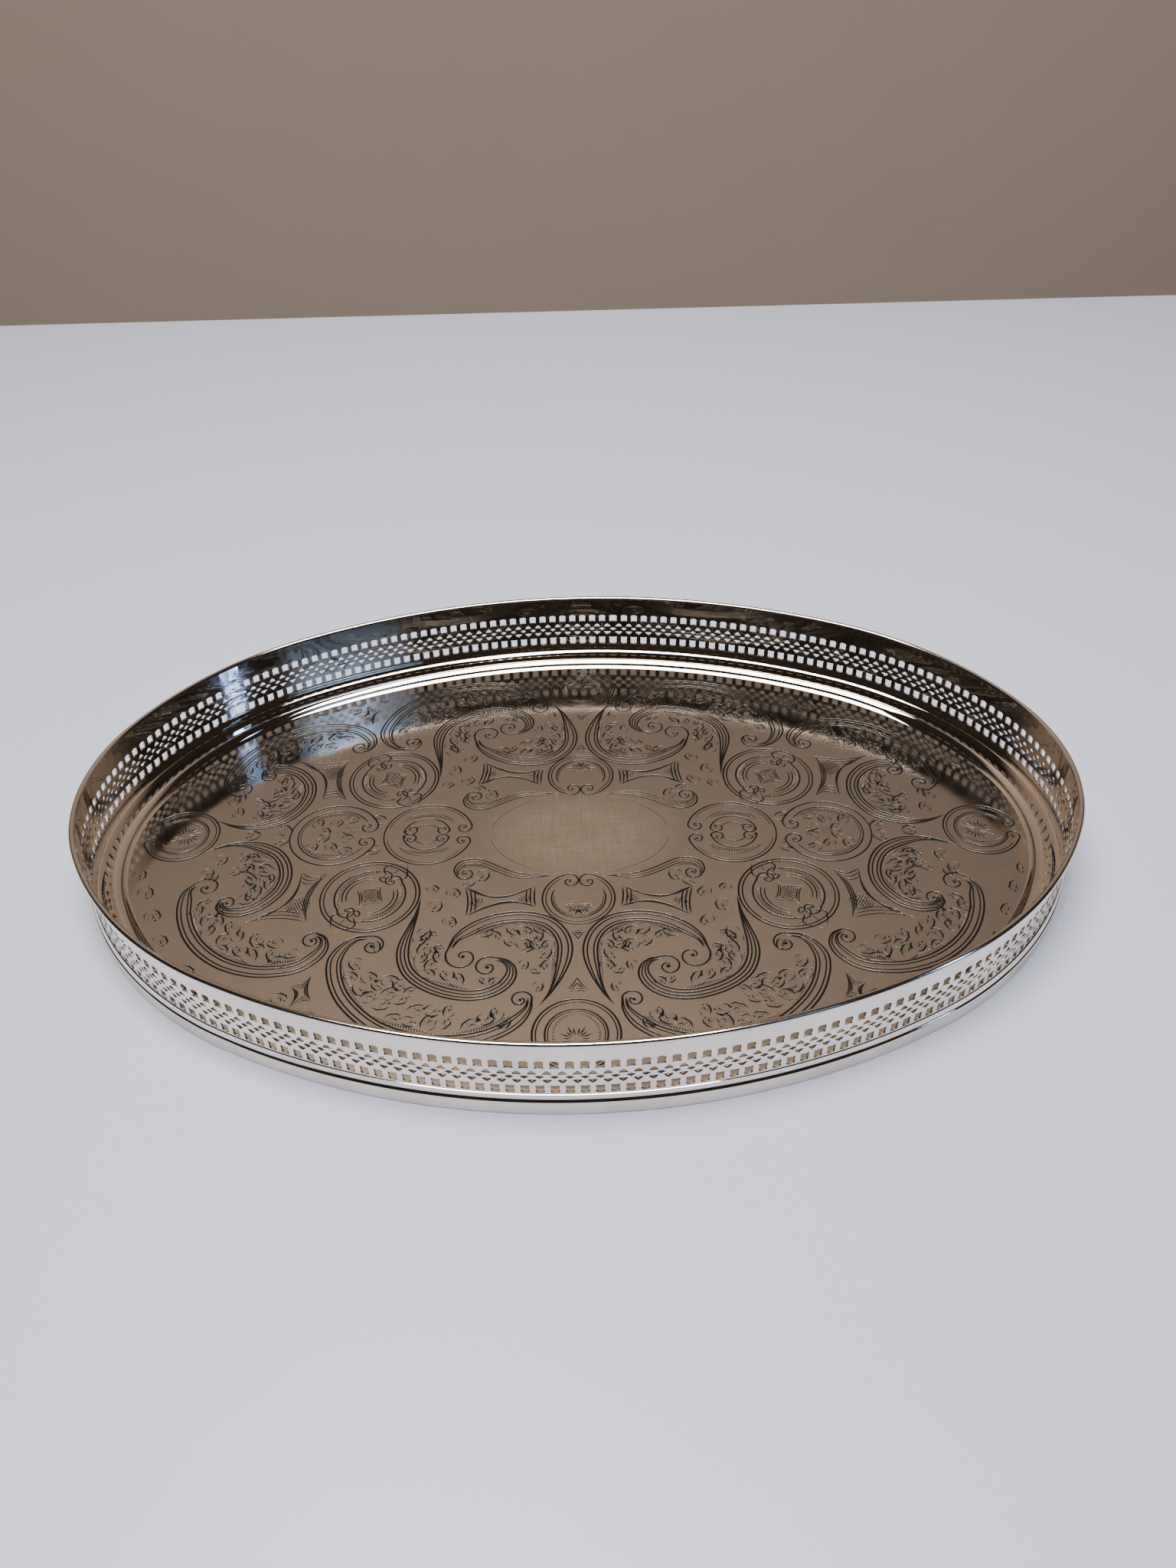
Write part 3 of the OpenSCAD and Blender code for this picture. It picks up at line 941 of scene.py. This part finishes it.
def engravedField(bm, depthLayer):
    # triangulates the field along the cuts and lowers them into V-grooves
    rim = []
    for arc in arcs:
        for i in range(stepsOn(arc)):
            rim.append(roundPlace(arc, arc[2] + arc[3] * i / stepsOn(arc), -plate["border"], 0).to_2d())
    places = list(rim)
    edges = [(i, (i + 1) % len(rim)) for i in range(len(rim))]
    grid = {}                # square of the field, 1 mm wide: the stretches of cuts that reach it
    for path, width, ends in placedCuts():
        if len(path) == 2:
            path = [path[0], path[0].lerp(path[1], 0.5), path[1]]
        halves = cutOutline(path, width, ends)
        across = sideways(path, 1)
        rows = []
        for spot, side, half in zip(path, across, halves):
            first = len(places)
            if half < engraving["hair"]:
                places.append(spot)
                rows.append((first, first, first))
            else:
                places += [spot - side * half, spot, spot + side * half]
                rows.append((first, first + 1, first + 2))
        for i in range(len(path) - 1):
            edges += list(zip(rows[i], rows[i + 1]))
            noteStretch(grid, (path[i], path[i + 1], halves[i], halves[i + 1]))
    print("engraving:", len(places), "places in", len(edges), "edges")
    spots, _, faces = delaunay_2d_cdt(places, edges, [], 0, engraving["meet"])[:3]
    verts = []
    for spot in spots:
        depth, dark = cutAt(spot, grid)
        vert = bm.verts.new(Vector((spot.x, spot.y, plate["fieldUp"] - depth)) * mm)
        vert[depthLayer] = dark
        verts.append(vert)
    for face in faces:
        bm.faces.new([verts[i] for i in face])
    print("engraved field:", len(verts), "vertices,", len(faces), "faces")


def makePlate():
    for draw in (roundels, diagonalMedallion, innerOrnaments, greatScrolls):
        draw()
    bm = bmesh.new()
    depthLayer = bm.verts.layers.float.new("cutDepth")
    top, under = borderSection()
    sweepRound(bm, top + under, closed=False)
    for face in bm.faces:
        face.smooth = True
        face.material_index = 1
    level = (plate["fieldUp"] - plate["sheet"]) * mm
    bmesh.ops.remove_doubles(bm, verts=bm.verts, dist=weldWithin * mm)
    bottom = [e for e in bm.edges if e.is_boundary and abs(e.verts[0].co.z - level) < 0.01 * mm]
    bmesh.ops.contextual_create(bm, geom=bottom)
    engravedField(bm, depthLayer)
    return finishPiece("fieldPlate", bm, "base_plate",
                       engravedPlate("engraved silver plate"), 35,
                       polishedPlate("buffed silver-plated border", 0.02, 0.026, 0.5))


makeRimWire()
makeGallery()
makeMoulding()
makeFoot()
makePlate()


# Room: a white table, a taupe backdrop and soft light. Its sizes are in metres.

room = {
    "table": "#e4eafb",
    "tableHalf": 3,
    "backdrop": "#8a7a6b",
    "backdropAway": 0.70,    # behind the tray's middle
    "backdropWidth": 4,
    "backdropHeight": 2.2,
    "roomDark": "#2c2622",
    "grain": 60,             # mm, patches where the gloss of table and backdrop differs
}

lights = {
    "overheadSoftbox": {"at": (-0.1, -0.12, 1.55), "size": (1.05, 0.7), "power": 40,
                        "colour": "#fcf8f6", "aim": (0, 0.05, 0)},
    "curtainedWindow": {"at": (0.71, -0.96, 0.98), "size": (0.5, 0.3), "power": 0.29,
                        "colour": "#98bdf6"},
    "sideWindow": {"at": (1.1, -0.45, 0.78), "size": (0.12, 0.4), "power": 0.6,
                   "colour": "#86b0ff"},
    "windowShares": (1, 0.7, 0.4),
    "windowDrop": 0.01,      # how far the largest light of a window hangs below its place
}


def flatFinish(name, hexColour, roughness):
    # laminate or paper: one colour, with a slightly uneven gloss
    finish, tree, shader, place = newFinish(name)
    grain = addNode(tree, "ShaderNodeTexNoise", {"Scale": perMm(room["grain"]), "Detail": 3.0},
                    {"Vector": place})
    tone = addNode(tree, "ShaderNodeMapRange", {"To Min": roughness * 0.85, "To Max": roughness * 1.15},
                   {"Value": grain})
    tree.links.new(tone, shader.inputs["Roughness"])
    shader.inputs["Base Color"].default_value = linear(hexColour)
    return finish


def makeRoom():
    bm = bmesh.new()
    bmesh.ops.create_grid(bm, x_segments=1, y_segments=1, size=room["tableHalf"])
    table = bpy.data.objects.new("table", bpy.data.meshes.new("table"))
    bm.to_mesh(table.data)
    bm.free()
    table.data.materials.append(flatFinish("white laminate", room["table"], 0.35))
    bm = bmesh.new()
    high, away = room["backdropHeight"], room["backdropAway"]
    bmesh.ops.create_grid(bm, x_segments=1, y_segments=1, size=0.5)
    bmesh.ops.scale(bm, verts=bm.verts, vec=(room["backdropWidth"], high, 1))
    bmesh.ops.rotate(bm, verts=bm.verts, matrix=Matrix.Rotation(math.radians(90), 3, "X"))
    bmesh.ops.translate(bm, verts=bm.verts, vec=(0, away, high / 2))
    backdrop = bpy.data.objects.new("backdrop", bpy.data.meshes.new("backdrop"))
    bm.to_mesh(backdrop.data)
    bm.free()
    backdrop.data.materials.append(flatFinish("taupe paper", room["backdrop"], 0.9))
    for thing in (table, backdrop):
        bpy.context.scene.collection.objects.link(thing)


def softLight(name, at, size, power, colour, aim=(0, 0, 0)):
    light = bpy.data.lights.new(name, "AREA")
    light.shape = "RECTANGLE"
    light.size, light.size_y = size
    light.energy = power
    light.color = linear(colour)[:3]
    lamp = bpy.data.objects.new(name, light)
    lamp.location = at
    lamp.rotation_euler = (Vector(aim) - Vector(at)).to_track_quat("-Z", "Y").to_euler()
    bpy.context.scene.collection.objects.link(lamp)


def makeLight():
    softLight("overheadSoftbox", **lights["overheadSoftbox"])
    for share in lights["windowShares"]:  # one inside the other, so a window fades to its edges
        for name in ("curtainedWindow", "sideWindow"):
            window = lights[name]
            x, y, z = window["at"]
            softLight(name, (x, y, z - lights["windowDrop"] * share),
                      [edge * share for edge in window["size"]], window["power"] * share,
                      window["colour"])
    world = bpy.data.worlds.new("room")
    world.use_nodes = True
    world.node_tree.nodes["Background"].inputs["Color"].default_value = linear(room["roomDark"])
    bpy.context.scene.world = world


view = {
    "place": (-0.0005, -0.3763, 0.3365),
    "down": 39.26,           # degrees below the horizon
    "roll": 1.27,
    "yaw": 0.73,
    "lens": 27.035,          # mm
    "sensor": 36,            # mm wide
}


def makeCamera():
    pitch, roll, yaw = (math.radians(view[k]) for k in ("down", "roll", "yaw"))
    ahead = Vector((math.sin(yaw), math.cos(yaw), 0))
    right = Vector((math.cos(yaw), -math.sin(yaw), 0))
    up = Vector((0, 0, 1))
    forward = ahead * math.cos(pitch) - up * math.sin(pitch)
    down = -(up * math.cos(pitch) + ahead * math.sin(pitch))
    x = right * math.cos(roll) + down * math.sin(roll)
    y = right * math.sin(roll) - down * math.cos(roll)
    data = bpy.data.cameras.new("camera")
    data.sensor_width, data.lens, data.clip_start = view["sensor"], view["lens"], 0.01
    camera = bpy.data.objects.new("camera", data)
    bpy.context.scene.collection.objects.link(camera)
    axes = Matrix((x, y, -forward)).transposed()
    camera.matrix_world = Matrix.Translation(view["place"]) @ axes.to_4x4()
    bpy.context.scene.camera = camera


makeRoom()
makeLight()
makeCamera()
print("room, lights and camera are in place")
